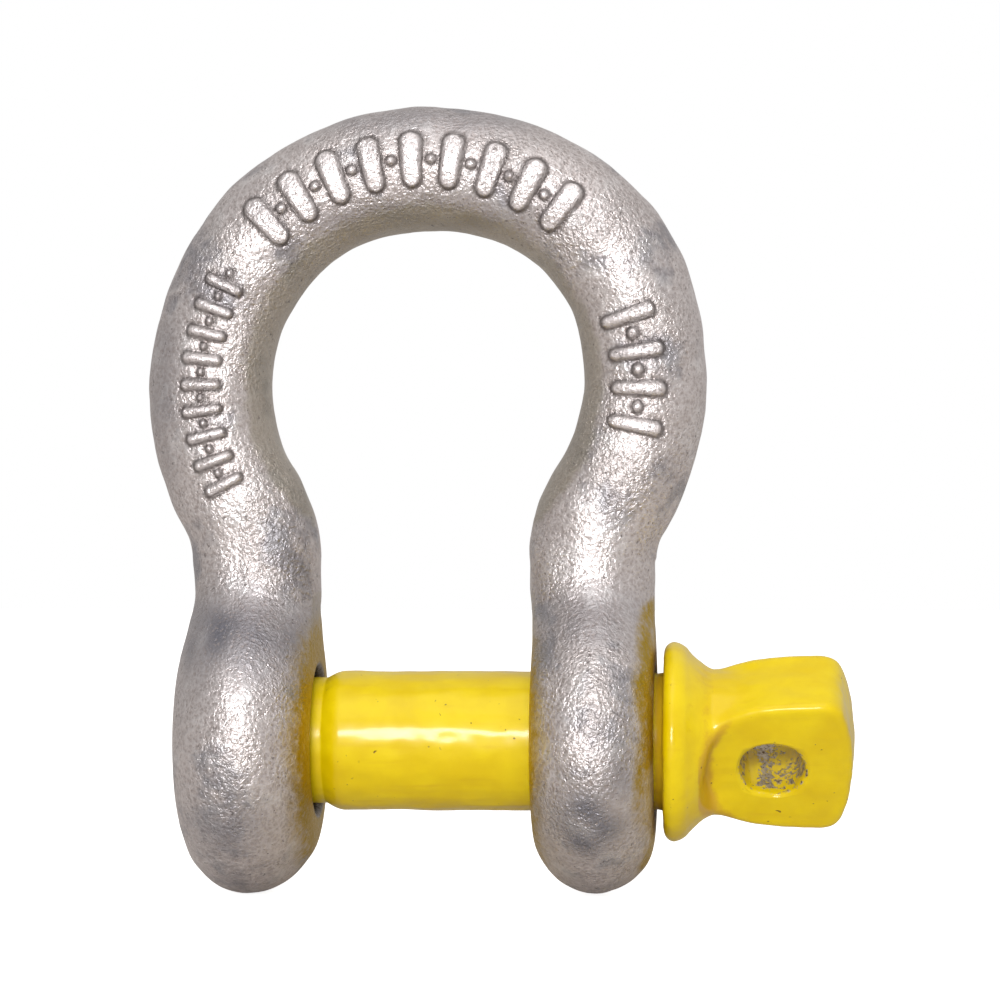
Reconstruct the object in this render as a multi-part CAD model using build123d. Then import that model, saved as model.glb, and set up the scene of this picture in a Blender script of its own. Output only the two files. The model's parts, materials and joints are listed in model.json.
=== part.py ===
"""Bow shackle with a screw pin, for a sailing boat's rigging or mooring gear.

Nominal 7/16 in screw-pin anchor shackle. The frame has its origin on the pin's
axis at the middle of the jaw. +X runs along the pin towards its head, +Z from
the pin to the crown of the bow, and +Y completes the right-handed frame.
All lengths are in millimetres and all angles in degrees.
"""

import math
import os
from build123d import *

# The bow: a round bar bent to a ring that opens into two straight legs.
bar_radius = 5.72
bow_radius = 20.1              # centreline of the round part of the bow
bow_centre_z = 32.95
leg_centre_x = 15.55           # centreline of each straight leg
throat_radius = 10.0           # reverse bend between the bow and a leg

# The ears, forged as thick discs with a full-round rim, then faced flat.
ear_rim_radius = 14.1
ear_rim_root_radius = 6.3      # where the rounding of the rim begins
jaw_half_width = 10.0
plain_ear_outer_x = 21.3
plain_ear_blank_half = 6.2
plain_ear_blank_x = 15.65
threaded_ear_outer_x = -22.8
threaded_ear_blank_half = 6.6
spot_face_radius = 9.5
jaw_facing_radius = 11.9       # the inner faces are cut flat out to here
plain_bore_radius = 6.95
bore_chamfer = 0.7

# Cross-sections of the swelling from leg to ear: height, half width in X and in Y.
shoulder_sections = [
    (17.04, 5.70, 5.70),
    (13.2, 5.72, 6.5),
    (9.2, 5.85, 9.2),
    (5.0, 5.90, 11.8),
]

# The screw thread, 1/2 in - 13 UNC cut undersize for galvanising.
thread_pitch = 25.4 / 13
thread_major_radius = 6.15
thread_minor_radius = 4.95
thread_crest_half_width = thread_pitch / 16
thread_clearance = 0.18        # normal to every thread surface
thread_buried_depth = 0.06     # how far a ridge's flanks run on into its core
thread_start_x = -26.0         # both helices start here, so they are in mesh
thread_stop_x = -8.6
thread_run_over = 0.3          # how far the tip's chamfers go beyond the crests
relief_radius = 6.75           # smooth counterbore in front of the ear's thread
relief_end_x = -12.7

# The pin, from its tip at -X to the end of its head at +X.
tip_x = -21.5
tip_radius = 5.0
thread_end_x = -11.2
neck_radius = 5.82
neck_end_x = -9.1
neck_root_length = 0.8         # cone that joins the neck to the thread's core
neck_root_radius = 4.75
shank_start_x = -7.6
shank_radius = 6.45            # with its coat of paint, across the jaw
shank_step_start_x = 9.2
shank_step_end_x = 9.5
eye_stretch_radius = 6.29      # bare, where the pin stands in the plain ear
collar_x = 22.1
collar_foot = (22.1, 8.35)     # outline of the collar: place along X, radius
collar_front_bend = (22.45, 8.97)
collar_crest = (23.3, 9.2)
collar_back_bend = (23.95, 8.95)
collar_back = (24.4, 8.35)
head_fillet_middle = (25.2, 7.2)
head_neck = (26.7, 6.7)
head_end_x = 39.5
head_end_radius = 7.1
head_dome_depth = 2.6
tab_turn = 37.0                # how far the tab is turned about the pin's axis
tab_thickness = 7.85
tab_root_x = 25.6
tab_root_width = 12.4
tab_wide_x = 37.8
tab_wide_width = 14.9
tab_corner_radius = 1.6
tab_edge_round = 1.1
pocket_radius = 7.5            # round run-out of the flats on the tab
pocket_x = 33.2
wire_hole_x = 32.1
wire_hole_radius = 3.0

beyond = 8.0                   # how far cutting bodies reach past what they cut


def turned_about_x(outline):
    """Turn an outline drawn in the XY plane, with Y as the radius, about X."""
    return revolve(outline, axis=Axis.X, revolution_arc=360)


def rod(radius, start_x, end_x):
    """A round rod along X."""
    plane = Plane(origin=(start_x, 0, 0), x_dir=(0, 1, 0), z_dir=(1, 0, 0))
    return extrude(plane * Circle(radius), amount=end_x - start_x)


def cone_frustum(start_x, start_radius, end_x, end_radius):
    """A frustum along X, for chamfers and countersinks."""
    outline = make_face(Polyline(
        (start_x, 0), (end_x, 0), (end_x, end_radius), (start_x, start_radius), close=True,
    ))
    return turned_about_x(outline)


def bow_bar():
    """The bent bar: leg, throat, bow, throat and leg, swept as one round section."""
    throat_x = leg_centre_x + throat_radius
    reach = bow_radius + throat_radius
    drop = math.sqrt(reach**2 - throat_x**2)
    leg_top_z = bow_centre_z - drop
    tangent_x = throat_x * bow_radius / reach
    tangent_z = bow_centre_z - drop * bow_radius / reach
    half_turn = math.degrees(math.atan2(drop, throat_x)) / 2
    mid_x = throat_x - throat_radius * math.cos(math.radians(half_turn))
    mid_z = leg_top_z + throat_radius * math.sin(math.radians(half_turn))

    def at(x, z):
        return (x, 0, z)

    route = Wire([
        Line(at(leg_centre_x, 4), at(leg_centre_x, leg_top_z)).edge(),
        ThreePointArc(
            at(leg_centre_x, leg_top_z), at(mid_x, mid_z), at(tangent_x, tangent_z)
        ).edge(),
        ThreePointArc(
            at(tangent_x, tangent_z),
            at(0, bow_centre_z + bow_radius),
            at(-tangent_x, tangent_z),
        ).edge(),
        ThreePointArc(
            at(-tangent_x, tangent_z), at(-mid_x, mid_z), at(-leg_centre_x, leg_top_z)
        ).edge(),
        Line(at(-leg_centre_x, leg_top_z), at(-leg_centre_x, 4)).edge(),
    ])
    section = Plane(origin=at(leg_centre_x, 4), z_dir=(0, 0, 1)) * Circle(bar_radius)
    return sweep(section, path=route)


def ear_blank(centre_x, half_thickness):
    """A disc about the pin's axis whose rim is half an ellipse in section."""
    rim_depth = ear_rim_radius - ear_rim_root_radius
    left_x = centre_x - half_thickness
    right_x = centre_x + half_thickness
    rim = EllipticalCenterArc(
        (centre_x, ear_rim_root_radius), half_thickness, rim_depth, arc_size=180
    )
    left_foot = (left_x, 0)
    right_foot = (right_x, 0)
    outline = Wire([
        rim.edge(),
        Line((left_x, ear_rim_root_radius), left_foot).edge(),
        Line(left_foot, right_foot).edge(),
        Line(right_foot, (right_x, ear_rim_root_radius)).edge(),
    ])
    return turned_about_x(make_face(outline))


def shoulder(centre_x):
    """The swelling from the round leg down into the ear."""
    sections = [
        Plane(origin=(centre_x, 0, z)) * Ellipse(half_x, half_y)
        for z, half_x, half_y in shoulder_sections
    ]
    return loft(sections)


def thread_ridge(clearance):
    """The helical ridge of the thread, grown by a clearance normal to its faces.

    Its flanks run on a little below the root, so that they cross the core cleanly.
    """
    slope = math.tan(math.radians(30))
    crest = thread_major_radius + clearance
    foot = thread_minor_radius + clearance - thread_buried_depth
    widening = clearance / math.cos(math.radians(30)) - clearance * slope
    crest_half = thread_crest_half_width + widening
    foot_half = crest_half + (crest - foot) * slope
    path = Helix(
        pitch=thread_pitch,
        height=thread_stop_x - thread_start_x,
        radius=foot,
        center=(thread_start_x, 0, 0),
        direction=(1, 0, 0),
    )
    start = path @ 0
    outward = Vector(0, start.Y, start.Z).normalized()
    plane = Plane(origin=(start.X, 0, 0), x_dir=outward, z_dir=outward.cross(Vector(1, 0, 0)))
    profile = make_face(Polyline(
        (foot, -foot_half), (crest, -crest_half), (crest, crest_half), (foot, foot_half),
        close=True,
    ))
    return sweep(plane * profile, path=path, is_frenet=True)


def threaded_rod(clearance):
    """A long threaded rod about the pin's axis, longer than any thread cut from it."""
    core_radius = thread_minor_radius + clearance
    core = rod(core_radius, thread_start_x - thread_pitch, thread_stop_x + thread_pitch)
    return core + thread_ridge(clearance)


def bow_body():
    """The forged bow with its threaded ear at -X and its plain ear at +X."""
    threaded_ear_x = threaded_ear_outer_x + threaded_ear_blank_half
    body = bow_bar()
    body += shoulder(leg_centre_x) + shoulder(-leg_centre_x)
    body += ear_blank(plain_ear_blank_x, plain_ear_blank_half)
    body += ear_blank(threaded_ear_x, threaded_ear_blank_half)
    body -= rod(jaw_facing_radius, -jaw_half_width, jaw_half_width)
    body -= rod(spot_face_radius, plain_ear_outer_x, plain_ear_outer_x + beyond)
    body -= rod(plain_bore_radius, 0, plain_ear_outer_x + beyond)
    wide = plain_bore_radius + bore_chamfer
    body -= cone_frustum(
        jaw_half_width, wide, jaw_half_width + bore_chamfer, plain_bore_radius
    )
    body -= cone_frustum(
        plain_ear_outer_x - bore_chamfer, plain_bore_radius, plain_ear_outer_x, wide
    )
    body -= rod(relief_radius, relief_end_x, 0)
    body -= threaded_rod(thread_clearance)
    return body


def pin_thread():
    """The threaded end of the pin, chamfered at both its ends, with its smooth neck."""
    over = thread_major_radius + thread_run_over
    chamfer_run = over - tip_radius
    limits = make_face(Polyline(
        (tip_x, 0),
        (tip_x, tip_radius),
        (tip_x + chamfer_run, over),
        (thread_end_x - chamfer_run, over),
        (thread_end_x, tip_radius),
        (thread_end_x, 0),
        close=True,
    ))
    threaded = threaded_rod(0) & turned_about_x(limits)
    neck = make_face(Polyline(
        (thread_end_x - neck_root_length, 0),
        (thread_end_x - neck_root_length, neck_root_radius),
        (thread_end_x, neck_radius),
        (neck_end_x, neck_radius),
        (neck_end_x, 0),
        close=True,
    ))
    return threaded + turned_about_x(neck)


def pin_shank():
    """The plain shank of the pin, from the end of its neck to the collar."""
    outline = make_face(Polyline(
        (neck_end_x, 0),
        (neck_end_x, neck_radius),
        (shank_start_x, shank_radius),
        (shank_step_start_x, shank_radius),
        (shank_step_end_x, eye_stretch_radius),
        (collar_x, eye_stretch_radius),
        (collar_x, 0),
        close=True,
    ))
    return turned_about_x(outline)


def head_blank():
    """Collar, concave fillet and round head, before the flats are forged on it."""
    dome_start = (head_end_x - head_dome_depth, head_end_radius)
    dome_middle = (head_end_x - head_dome_depth / 4, head_end_radius / 2)
    outline = [
        Line((collar_x, 0), collar_foot),
        ThreePointArc(collar_foot, collar_front_bend, collar_crest),
        ThreePointArc(collar_crest, collar_back_bend, collar_back),
        ThreePointArc(collar_back, head_fillet_middle, head_neck),
        Line(head_neck, dome_start),
        ThreePointArc(dome_start, dome_middle, (head_end_x, 0)),
        Line((head_end_x, 0), (collar_x, 0)),
    ]
    return turned_about_x(make_face(Wire([side.edge() for side in outline])))


def tab_plate():
    """The flat tab, widening to its rounded end, with soft edges."""
    half_root = tab_root_width / 2
    half_wide = tab_wide_width / 2
    outline = [
        Line((tab_root_x, -half_root), (tab_root_x, half_root)),
        Line((tab_root_x, half_root), (tab_wide_x, half_wide)),
        ThreePointArc((tab_wide_x, half_wide), (head_end_x, 0), (tab_wide_x, -half_wide)),
        Line((tab_wide_x, -half_wide), (tab_root_x, -half_root)),
    ]
    face = make_face(Wire([side.edge() for side in outline]))
    far_corners = face.vertices().sort_by(Axis.X)[-2:]
    face = fillet(far_corners, tab_corner_radius)
    side_on = Plane(origin=(0, 0, 0), x_dir=(1, 0, 0), z_dir=(0, -1, 0))
    plate = extrude(side_on * face, amount=tab_thickness / 2, both=True)
    rim_edges = [
        edge
        for edge in plate.edges()
        if abs(abs(edge.center().Y) - tab_thickness / 2) < 0.01
        and edge.center().X > tab_root_x + 0.1
    ]
    return fillet(rim_edges, tab_edge_round)


def flat_pocket(side):
    """The space that a flat takes from one face of the round head."""
    face_y = side * tab_thickness / 2
    plane = Plane(origin=(0, face_y, 0), x_dir=(1, 0, 0), z_dir=(0, side, 0))
    run_out = plane * (Location((pocket_x, 0)) * Circle(pocket_radius))
    past_end = Location((pocket_x + beyond, 0)) * Rectangle(2 * beyond, 4 * pocket_radius)
    return extrude(run_out, amount=beyond) + extrude(plane * past_end, amount=beyond)


def pin_head():
    """The collar and the tab with its wire hole, turned about the pin's axis."""
    head = head_blank() - flat_pocket(1) - flat_pocket(-1)
    head += tab_plate()
    across = Plane(origin=(wire_hole_x, 0, 0), x_dir=(1, 0, 0), z_dir=(0, 1, 0))
    head -= extrude(across * Circle(wire_hole_radius), amount=beyond, both=True)
    return Rot(tab_turn, 0, 0) * head


nodes = {
    "bow_body": bow_body(),
    "pin_shank": pin_shank(),
    "pin_thread": pin_thread(),
    "pin_head": pin_head(),
}

os.makedirs("parts", exist_ok=True)
for name, shape in nodes.items():
    export_step(shape, f"parts/{name}.step")
    print(name, round(shape.volume, 1), shape.is_valid)
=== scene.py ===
"""Bow shackle with a screw pin: its forged, galvanised bow and its yellow-painted pin.

The shape functions work in millimetres, in the frame's own axes: +X along the pin to
its head, +Z from the pin to the crown. A mesh becomes metres when it is made.
"""
import json
import math
from functools import partial

import bmesh
import bpy
import numpy as np
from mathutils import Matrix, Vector


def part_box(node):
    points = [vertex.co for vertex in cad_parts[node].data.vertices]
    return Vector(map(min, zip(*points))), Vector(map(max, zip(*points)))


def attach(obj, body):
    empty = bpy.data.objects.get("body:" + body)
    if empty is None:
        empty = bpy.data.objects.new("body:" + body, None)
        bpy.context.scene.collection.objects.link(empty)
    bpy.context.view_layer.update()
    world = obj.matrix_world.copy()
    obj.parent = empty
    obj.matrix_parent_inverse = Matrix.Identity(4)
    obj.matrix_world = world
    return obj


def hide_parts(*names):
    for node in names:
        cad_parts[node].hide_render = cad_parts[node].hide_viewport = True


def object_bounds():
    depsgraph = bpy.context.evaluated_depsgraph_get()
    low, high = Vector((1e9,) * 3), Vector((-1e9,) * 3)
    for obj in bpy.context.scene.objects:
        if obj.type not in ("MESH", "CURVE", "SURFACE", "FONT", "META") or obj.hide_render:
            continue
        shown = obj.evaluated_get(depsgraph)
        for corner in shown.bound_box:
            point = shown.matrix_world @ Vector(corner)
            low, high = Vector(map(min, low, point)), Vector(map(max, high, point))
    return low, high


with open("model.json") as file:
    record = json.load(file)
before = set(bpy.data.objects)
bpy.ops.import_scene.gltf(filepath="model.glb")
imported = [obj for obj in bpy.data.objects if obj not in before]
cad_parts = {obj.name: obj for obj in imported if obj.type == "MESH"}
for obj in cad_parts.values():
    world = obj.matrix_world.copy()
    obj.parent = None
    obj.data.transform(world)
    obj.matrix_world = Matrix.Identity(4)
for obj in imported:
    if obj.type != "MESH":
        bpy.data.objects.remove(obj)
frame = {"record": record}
cad_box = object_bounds()

MM = 0.001
FULL_TURN = 2 * math.pi

# ---------------------------------------------------------------- sizes from the frame

mounts = {mount["name"]: mount for mount in frame["record"]["mounts"]}
bow_low, bow_high = [np.array(corner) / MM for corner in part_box("bow_body")]
head_low, head_high = [np.array(corner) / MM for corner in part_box("pin_head")]
thread_low, thread_high = [np.array(corner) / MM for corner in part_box("pin_thread")]

# The bow's bar and the two ears.
bar_radius = 5.72
bow_radius = bow_high[0] - bar_radius        # centreline of the round part
bow_centre_z = bow_high[2] - bow_radius - bar_radius
throat_radius = 10.0                         # reverse bend between the bow and a leg
leg_x = 15.55
throat_x = leg_x + throat_radius             # centre of the reverse bend
throat_drop = math.sqrt((bow_radius + throat_radius)**2 - throat_x**2)
leg_top = bow_centre_z - throat_drop         # where the leg starts to bend
half_open = math.atan2(throat_drop, throat_x)
leg_swell = 0.15                             # how much fuller a leg is at its foot, along X
leg_swell_z = (7.0, 15.0)                    # full below the first, gone above the second
leg_foot_z = -4.0                            # where the leg ends inside its ear
leg_foot_round = 2.0
ear_radius = -bow_low[2]
ear_flat_radius = 6.3                        # where the full round of the rim begins
jaw_half_width = 10.0
plain_ear_x, plain_ear_half, plain_ear_face = 15.65, 6.2, 21.3
threaded_ear_x, threaded_ear_half, threaded_ear_face = -16.2, 6.6, 22.8
plain_bore_radius = 6.95
relief_radius = 6.75
relief_end_x = -12.7
relief_lead_in, relief_foot_radius = 1.0, 5.1
ear_chamfer = 0.7
ear_fillet = 1.6                             # between the leg and its ear
jaw_edge_round = 0.7
face_edge_round = 0.6
jaw_fall = 0.6                               # how far the jaw's face falls back at its rim
jaw_fall_radii = (11.2, 14.5)
shoulder_push = 0.9                          # the bow isn't quite round as forged
bulge_angle, bulge_spread = math.radians(38), math.radians(30)
mark_height, mark_groove = 0.42, 0.10        # of the raised bars and the dip round them
calm_radii = (9.4, 11.6)                     # the ears are smooth where the collar turns
bow_section = (bar_radius, bar_radius)
ear_section = (bar_radius + 0.4, ear_radius)

# The pin. Its thread is 1/2 in - 13 UNC, cut undersize for galvanising.
shank_radius = mounts["jaw_pin"]["dims"]["r_mm"]
eye_radius = 6.29                            # the stretch that stands in the plain ear
thread_pitch = 25.4 / 13
thread_minor_radius = 4.95
thread_depth = 1.2
thread_gap = 0.18
tip_x = thread_low[0]
tip_radius = 5.0
thread_end_x = -11.2
neck_radius = 5.82
neck_end_x = thread_high[0]
collar_x = head_low[0]
head_end_x = head_high[0]
collar_radius = head_high[2]
collar_crest_x = 23.0
collar_back, collar_back_bend = (22.1, 8.35), (22.4, 8.95)
collar_front_bend, collar_front = (23.75, 8.95), (24.4, 8.35)
waist_run, waist_curve = 2.2, 1.45           # from the collar down to the blank
wire_hole_x = mounts["wire_hole"]["pos_m"][0] / MM
wire_hole_radius = mounts["wire_hole"]["dims"]["r_mm"]
tab_half_thickness = mounts["wire_hole"]["dims"]["length_mm"] / 2
tab_normal = np.array(mounts["wire_hole"]["axis"])
tab_across = np.cross(tab_normal, (1.0, 0.0, 0.0))
tab_half_width = 7.5
tab_waist, tab_flare = 3.9, 2.6              # how much narrower the root is, and how fast
tab_root_x = 25.6
tab_wide_x = 37.9
neck_foot_x, neck_foot_radius = 26.7, 6.7
neck_far_x, neck_far_radius = 37.1, 7.1
head_dome_depth = 2.6
head_end_radius = 6.2
pocket_x, pocket_radius = 33.2, 7.5
pocket_reach = 10.5                          # half width that the pocket runs out to
pocket_edge_round, pocket_rim_round = 1.3, 1.1
end_edge_round = 1.2
tab_corner_round, tab_edge_round, tab_root_round = 1.5, 0.8, 0.5
hole_mouth_round, hole_unevenness = 0.35, 0.10
cone_run = 1.5                               # from the neck up to the shank
step_x = jaw_half_width + 0.1                # where the shank steps down into the ear
step_run = 0.5


# ---------------------------------------------------------------- shape helpers

def eased(value, low, high):
    """0 below low, 1 above high, and a smooth S between them."""
    t = np.clip((value - low) / (high - low), 0.0, 1.0)
    return t * t * (3.0 - 2.0 * t)


def faded(value, low, high):
    """1 below low, 0 above high, and a smooth S between them."""
    return 1.0 - eased(value, low, high)


def hump(value, middle, width):
    """1 at the middle, falling away to 0 on both sides."""
    return np.exp(-((value - middle) / width)**2)


def soft_max(a, b, width):
    """The larger of two fields, its corner rounded over a width."""
    nearness = np.maximum(width - np.abs(a - b), 0.0)
    return np.maximum(a, b) + nearness**2 / (4.0 * width)


def soft_min(a, b, width):
    """The smaller of two fields, its corner filled over a width."""
    return -soft_max(-a, -b, width)


def rolling(points, wavelength, waves, seed):
    """Unevenness of about -1 to 1: a sum of sine waves in random directions."""
    draw = np.random.default_rng(seed)
    directions = draw.normal(size=(waves, 3))
    directions /= np.linalg.norm(directions, axis=1)[:, None]
    lengths = wavelength * draw.uniform(0.75, 1.35, waves)
    phases = draw.uniform(0.0, FULL_TURN, waves)
    angles = points @ (directions * (FULL_TURN / lengths)[:, None]).T + phases
    return np.sin(angles).sum(axis=-1) / math.sqrt(waves)


def cast(field, origins, directions, reach):
    """Where each ray leaves the solid: halving the stretch between inside and outside."""
    near = np.zeros(directions.shape[:-1])
    far = np.full(directions.shape[:-1], float(reach))
    for _ in range(26):
        middle = (near + far) / 2
        outside = field(origins + directions * middle[..., None]) > 0
        far = np.where(outside, middle, far)
        near = np.where(outside, near, middle)
    return origins + directions * ((near + far) / 2)[..., None]


def spaced(start, stop, step):
    """Values from start up to but without stop, about a step apart."""
    count = max(2, int(round(abs(stop - start) / step)))
    return np.linspace(start, stop, count, endpoint=False)


class Skin:
    """A closed surface put together from grids of points that share their edges."""

    def __init__(self):
        self.points = []
        self.count = 0
        self.blocks = []

    def add(self, points):
        """Add points and give their numbers in the same layout."""
        numbers = np.arange(self.count, self.count + points[..., 0].size)
        self.points.append(points.reshape(-1, 3))
        self.count += numbers.size
        return numbers.reshape(points.shape[:-1])

    def band(self, rows, keep=None):
        """Join neighbouring rows of numbers, each row a closed ring, with quads."""
        after = np.roll(rows, -1, axis=1)
        quads = np.stack([rows[:-1], after[:-1], after[1:], rows[1:]], axis=-1)
        if keep is not None:
            quads = quads[keep]
        self.blocks.append(quads.reshape(-1, 4))

    def cap(self, ring, tip):
        """Close a ring with triangles to one point."""
        after = np.roll(ring, -1)
        tips = np.full(ring.shape, tip)
        self.blocks.append(np.stack([ring, after, tips], axis=-1))

    def mesh(self, name, relief):
        """A Blender mesh in metres, each point moved by relief(points) along its normal,
        and its points in millimetres. Points that no face uses are left out."""
        used = np.unique(np.concatenate([block.ravel() for block in self.blocks]))
        points = np.concatenate(self.points)[used]
        faces = []
        for block in self.blocks:
            faces += np.searchsorted(used, block).tolist()
        mesh = bpy.data.meshes.new(name)
        mesh.from_pydata(points.tolist(), [], faces)
        face_out(mesh)
        normals = np.empty(len(points) * 3)
        mesh.vertex_normals.foreach_get("vector", normals)
        points = points + normals.reshape(-1, 3) * relief(points)[:, None]
        mesh.vertices.foreach_set("co", (points * MM).ravel())
        mesh.shade_smooth()
        mesh.update()
        return mesh, points


def face_out(mesh):
    """Turn every face outwards."""
    work = bmesh.new()
    work.from_mesh(mesh)
    bmesh.ops.recalc_face_normals(work, faces=work.faces)
    work.to_mesh(mesh)
    work.free()


def patch_rim(numbers, first_row, last_row, columns):
    """The numbers round a rectangular patch of a grid, in order."""
    return np.concatenate([
        numbers[first_row, columns],
        numbers[first_row + 1:last_row, columns[-1]],
        numbers[last_row, columns[::-1]],
        numbers[first_row + 1:last_row, columns[0]][::-1],
    ])


def paint_attribute(mesh, name, values):
    """Store one number for each point, for a material to read."""
    attribute = mesh.attributes.new(name, "FLOAT", "POINT")
    attribute.data.foreach_set("value", values.astype(np.float32))


def make_piece(name, mesh, material, body, slot, *nodes):
    """Put a mesh into the scene, riding on a body and standing for its CAD nodes."""
    piece = bpy.data.objects.new(name, mesh)
    bpy.context.scene.collection.objects.link(piece)
    mesh.materials.append(material)
    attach(piece, body)
    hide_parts(*nodes)


# ---------------------------------------------------------------- the bow

def thread_wave(x, angle):
    """Height of the thread's ridge, 0 to 1: a trapezium that climbs one pitch a turn."""
    phase = x / thread_pitch - angle / FULL_TURN
    away = np.abs(phase - np.round(phase)) * thread_pitch
    crest_half = thread_pitch / 16
    foot_half = crest_half + thread_depth * math.tan(math.radians(30))
    return np.clip((foot_half - away) / (foot_half - crest_half), 0.0, 1.0)


def shoulder_half_width(z):
    """Half width in Y of the swelling from the round leg into the ear."""
    heights = (2.0, 5.0, 9.2, 13.2, 15.4, 17.1)
    widths = (12.3, 11.8, 9.2, 6.55, 5.85, bar_radius)
    return np.interp(z, heights, widths)


def leg_field(points, side):
    """Outside-ness of a leg with its ear: an elliptic leg softly joined to a thick disc
    whose rim is half an ellipse, then cut flat at the jaw and at the outer face."""
    ear_x, ear_half, ear_face = {
        1: (plain_ear_x, plain_ear_half, plain_ear_face),
        -1: (-threaded_ear_x, threaded_ear_half, threaded_ear_face),
    }[side]
    x = points[..., 0] * side
    y = points[..., 1]
    z = points[..., 2]
    half_y = shoulder_half_width(z)
    half_x = bar_radius + leg_swell * faded(z, *leg_swell_z)
    leg = (np.hypot((x - leg_x) / half_x, y / half_y) - 1.0) * half_x
    leg = soft_max(leg, leg_foot_z - z, leg_foot_round)
    from_axis = np.hypot(y, z)
    rim = np.maximum(from_axis - ear_flat_radius, 0.0) / (ear_radius - ear_flat_radius)
    ear = (np.hypot((x - ear_x) / ear_half, rim) - 1.0) * ear_half
    body = soft_min(leg, ear, ear_fillet)
    jaw_cut = jaw_half_width - x - jaw_fall * eased(from_axis, *jaw_fall_radii)
    body = soft_max(body, jaw_cut, jaw_edge_round)
    return soft_max(body, x - ear_face, face_edge_round)


def shoulder_bulge(angle):
    """1 where the hand-bent bow bulges, high on the plain side, falling away round it."""
    return hump(angle, bulge_angle, bulge_spread)


def bow_rows():
    """Rows along the bow from the bottom of one ear to the other: for each its centre,
    its outward direction, its section's half widths and how far it fans to the tip."""
    fan_step, leg_step, bend_step = 0.038, 0.42, 0.022
    round_rows = 372
    centres, outward, halves, fans = [], [], [], []

    def add_row(centre, direction, half, fan):
        """Note one row's centre, direction, half widths and fan."""
        centres.append(centre)
        outward.append(direction)
        halves.append(half)
        fans.append(fan)

    def add_leg(side):
        """Rows from the ear's tip, up the leg and round the reverse bend."""
        ear_x = plain_ear_x if side > 0 else threaded_ear_x
        for fan in spaced(0.02, math.pi / 2, fan_step):
            add_row((ear_x, 0.0), (side, 0.0), ear_section, fan)
        for z in spaced(0.0, leg_top, leg_step):
            share = eased(z, 4.0, leg_top)
            centre_x = ear_x + (side * leg_x - ear_x) * share
            half_y = max(shoulder_half_width(z), math.sqrt(max(ear_radius**2 - z * z, 0.0)))
            half_y = half_y + (bar_radius - half_y) * eased(z, 11.0, leg_top)
            half_x = ear_section[0] + (bar_radius - ear_section[0]) * share
            add_row((centre_x, z), (side, 0.0), (half_x, half_y), math.pi / 2)
        for angle in spaced(0.0, half_open, bend_step):
            x = side * (throat_x - throat_radius * math.cos(angle))
            z = leg_top + throat_radius * math.sin(angle)
            direction = (side * math.cos(angle), -math.sin(angle))
            add_row((x, z), direction, bow_section, math.pi / 2)

    add_leg(-1)
    for angle in np.linspace(math.pi + half_open, -half_open, round_rows):
        direction = (math.cos(angle), math.sin(angle))
        out = bow_radius + shoulder_push * shoulder_bulge(angle)
        centre = (out * direction[0], bow_centre_z + out * direction[1])
        add_row(centre, direction, bow_section, math.pi / 2)
    last_leg = len(centres)
    add_leg(1)
    for values in (centres, outward, halves, fans):
        values[last_leg:] = values[last_leg:][::-1]
    return [np.array(values) for values in (centres, outward, halves, fans)]


def bow_grid(columns):
    """Points of the bow: rays from each row's centre, in its plane or fanning to the
    ear's tip, out to the bar's radius or to where they leave the leg and ear."""
    centres, outward, halves, fans = bow_rows()
    turn = np.arange(columns) * FULL_TURN / columns
    crowding = 0.4                             # columns stand closer together at the front
    angle = turn - crowding * np.cos(turn)
    out = np.cos(angle)[None, :] * halves[:, :1]
    back = np.sin(angle)[None, :] * halves[:, 1:]
    lean = np.sin(fans)[:, None]
    down = np.cos(fans)[:, None] * halves[:, 1:]
    rays = np.stack([
        out * lean * outward[:, :1],
        back * lean,
        out * lean * outward[:, 1:] - down,
    ], axis=-1)
    rays /= np.linalg.norm(rays, axis=-1)[..., None]
    origins = np.stack([centres[:, 0], 0 * centres[:, 0], centres[:, 1]], axis=-1)[:, None, :]
    points = origins + rays * bar_radius
    reach = 18.0
    for side in (-1, 1):
        rows = (centres[:, 1] < leg_top) & (centres[:, 0] * side > 0)
        starts = np.broadcast_to(origins, rays.shape)[rows]
        points[rows] = cast(partial(leg_field, side=side), starts, rays[rows], reach)
    return points, centres


def ring_places(points):
    """Place of each point along the round bow, from the crown, and across it, in mm."""
    x = points[:, 0]
    z = points[:, 2] - bow_centre_z
    along = np.arctan2(x, z) * bow_radius
    across = np.hypot(x, z) - bow_radius
    return along, across


def bar_distance(along, across, bar):
    """Distance from a short rounded bar, negative inside it: from its middle line, less
    its half width."""
    middle_along, middle_across, half_length, half_width = bar
    beyond = np.maximum(np.abs(across - middle_across) - half_length, 0.0)
    return np.hypot(along - middle_along, beyond) - half_width


def raised_bars():
    """Plain raised bars of the forging with round studs after them: a row over the crown,
    a column down the threaded side's shoulder and a group on the plain side's."""
    bars = []

    def add_row(first, step, count, across, half_length, half_width, stud_radius, stud_after,
                studs):
        """Bars a step apart along the bow, and a stud after each of the first ones."""
        for number in range(count):
            along = first + number * step
            bars.append((along, across, half_length, half_width))
            if number < studs:
                bars.append((along + stud_after, across, 0.0, stud_radius))

    add_row(first=-15.3, step=3.6, count=9, across=0.5, half_length=1.65, half_width=0.9,
            stud_radius=0.42, stud_after=1.8, studs=8)
    add_row(first=-41.0, step=2.35, count=9, across=0.25, half_length=1.4, half_width=0.42,
            stud_radius=0.3, stud_after=1.17, studs=9)
    add_row(first=25.2, step=3.4, count=4, across=-0.2, half_length=1.9, half_width=0.6,
            stud_radius=0.5, stud_after=1.7, studs=3)
    return bars


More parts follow.
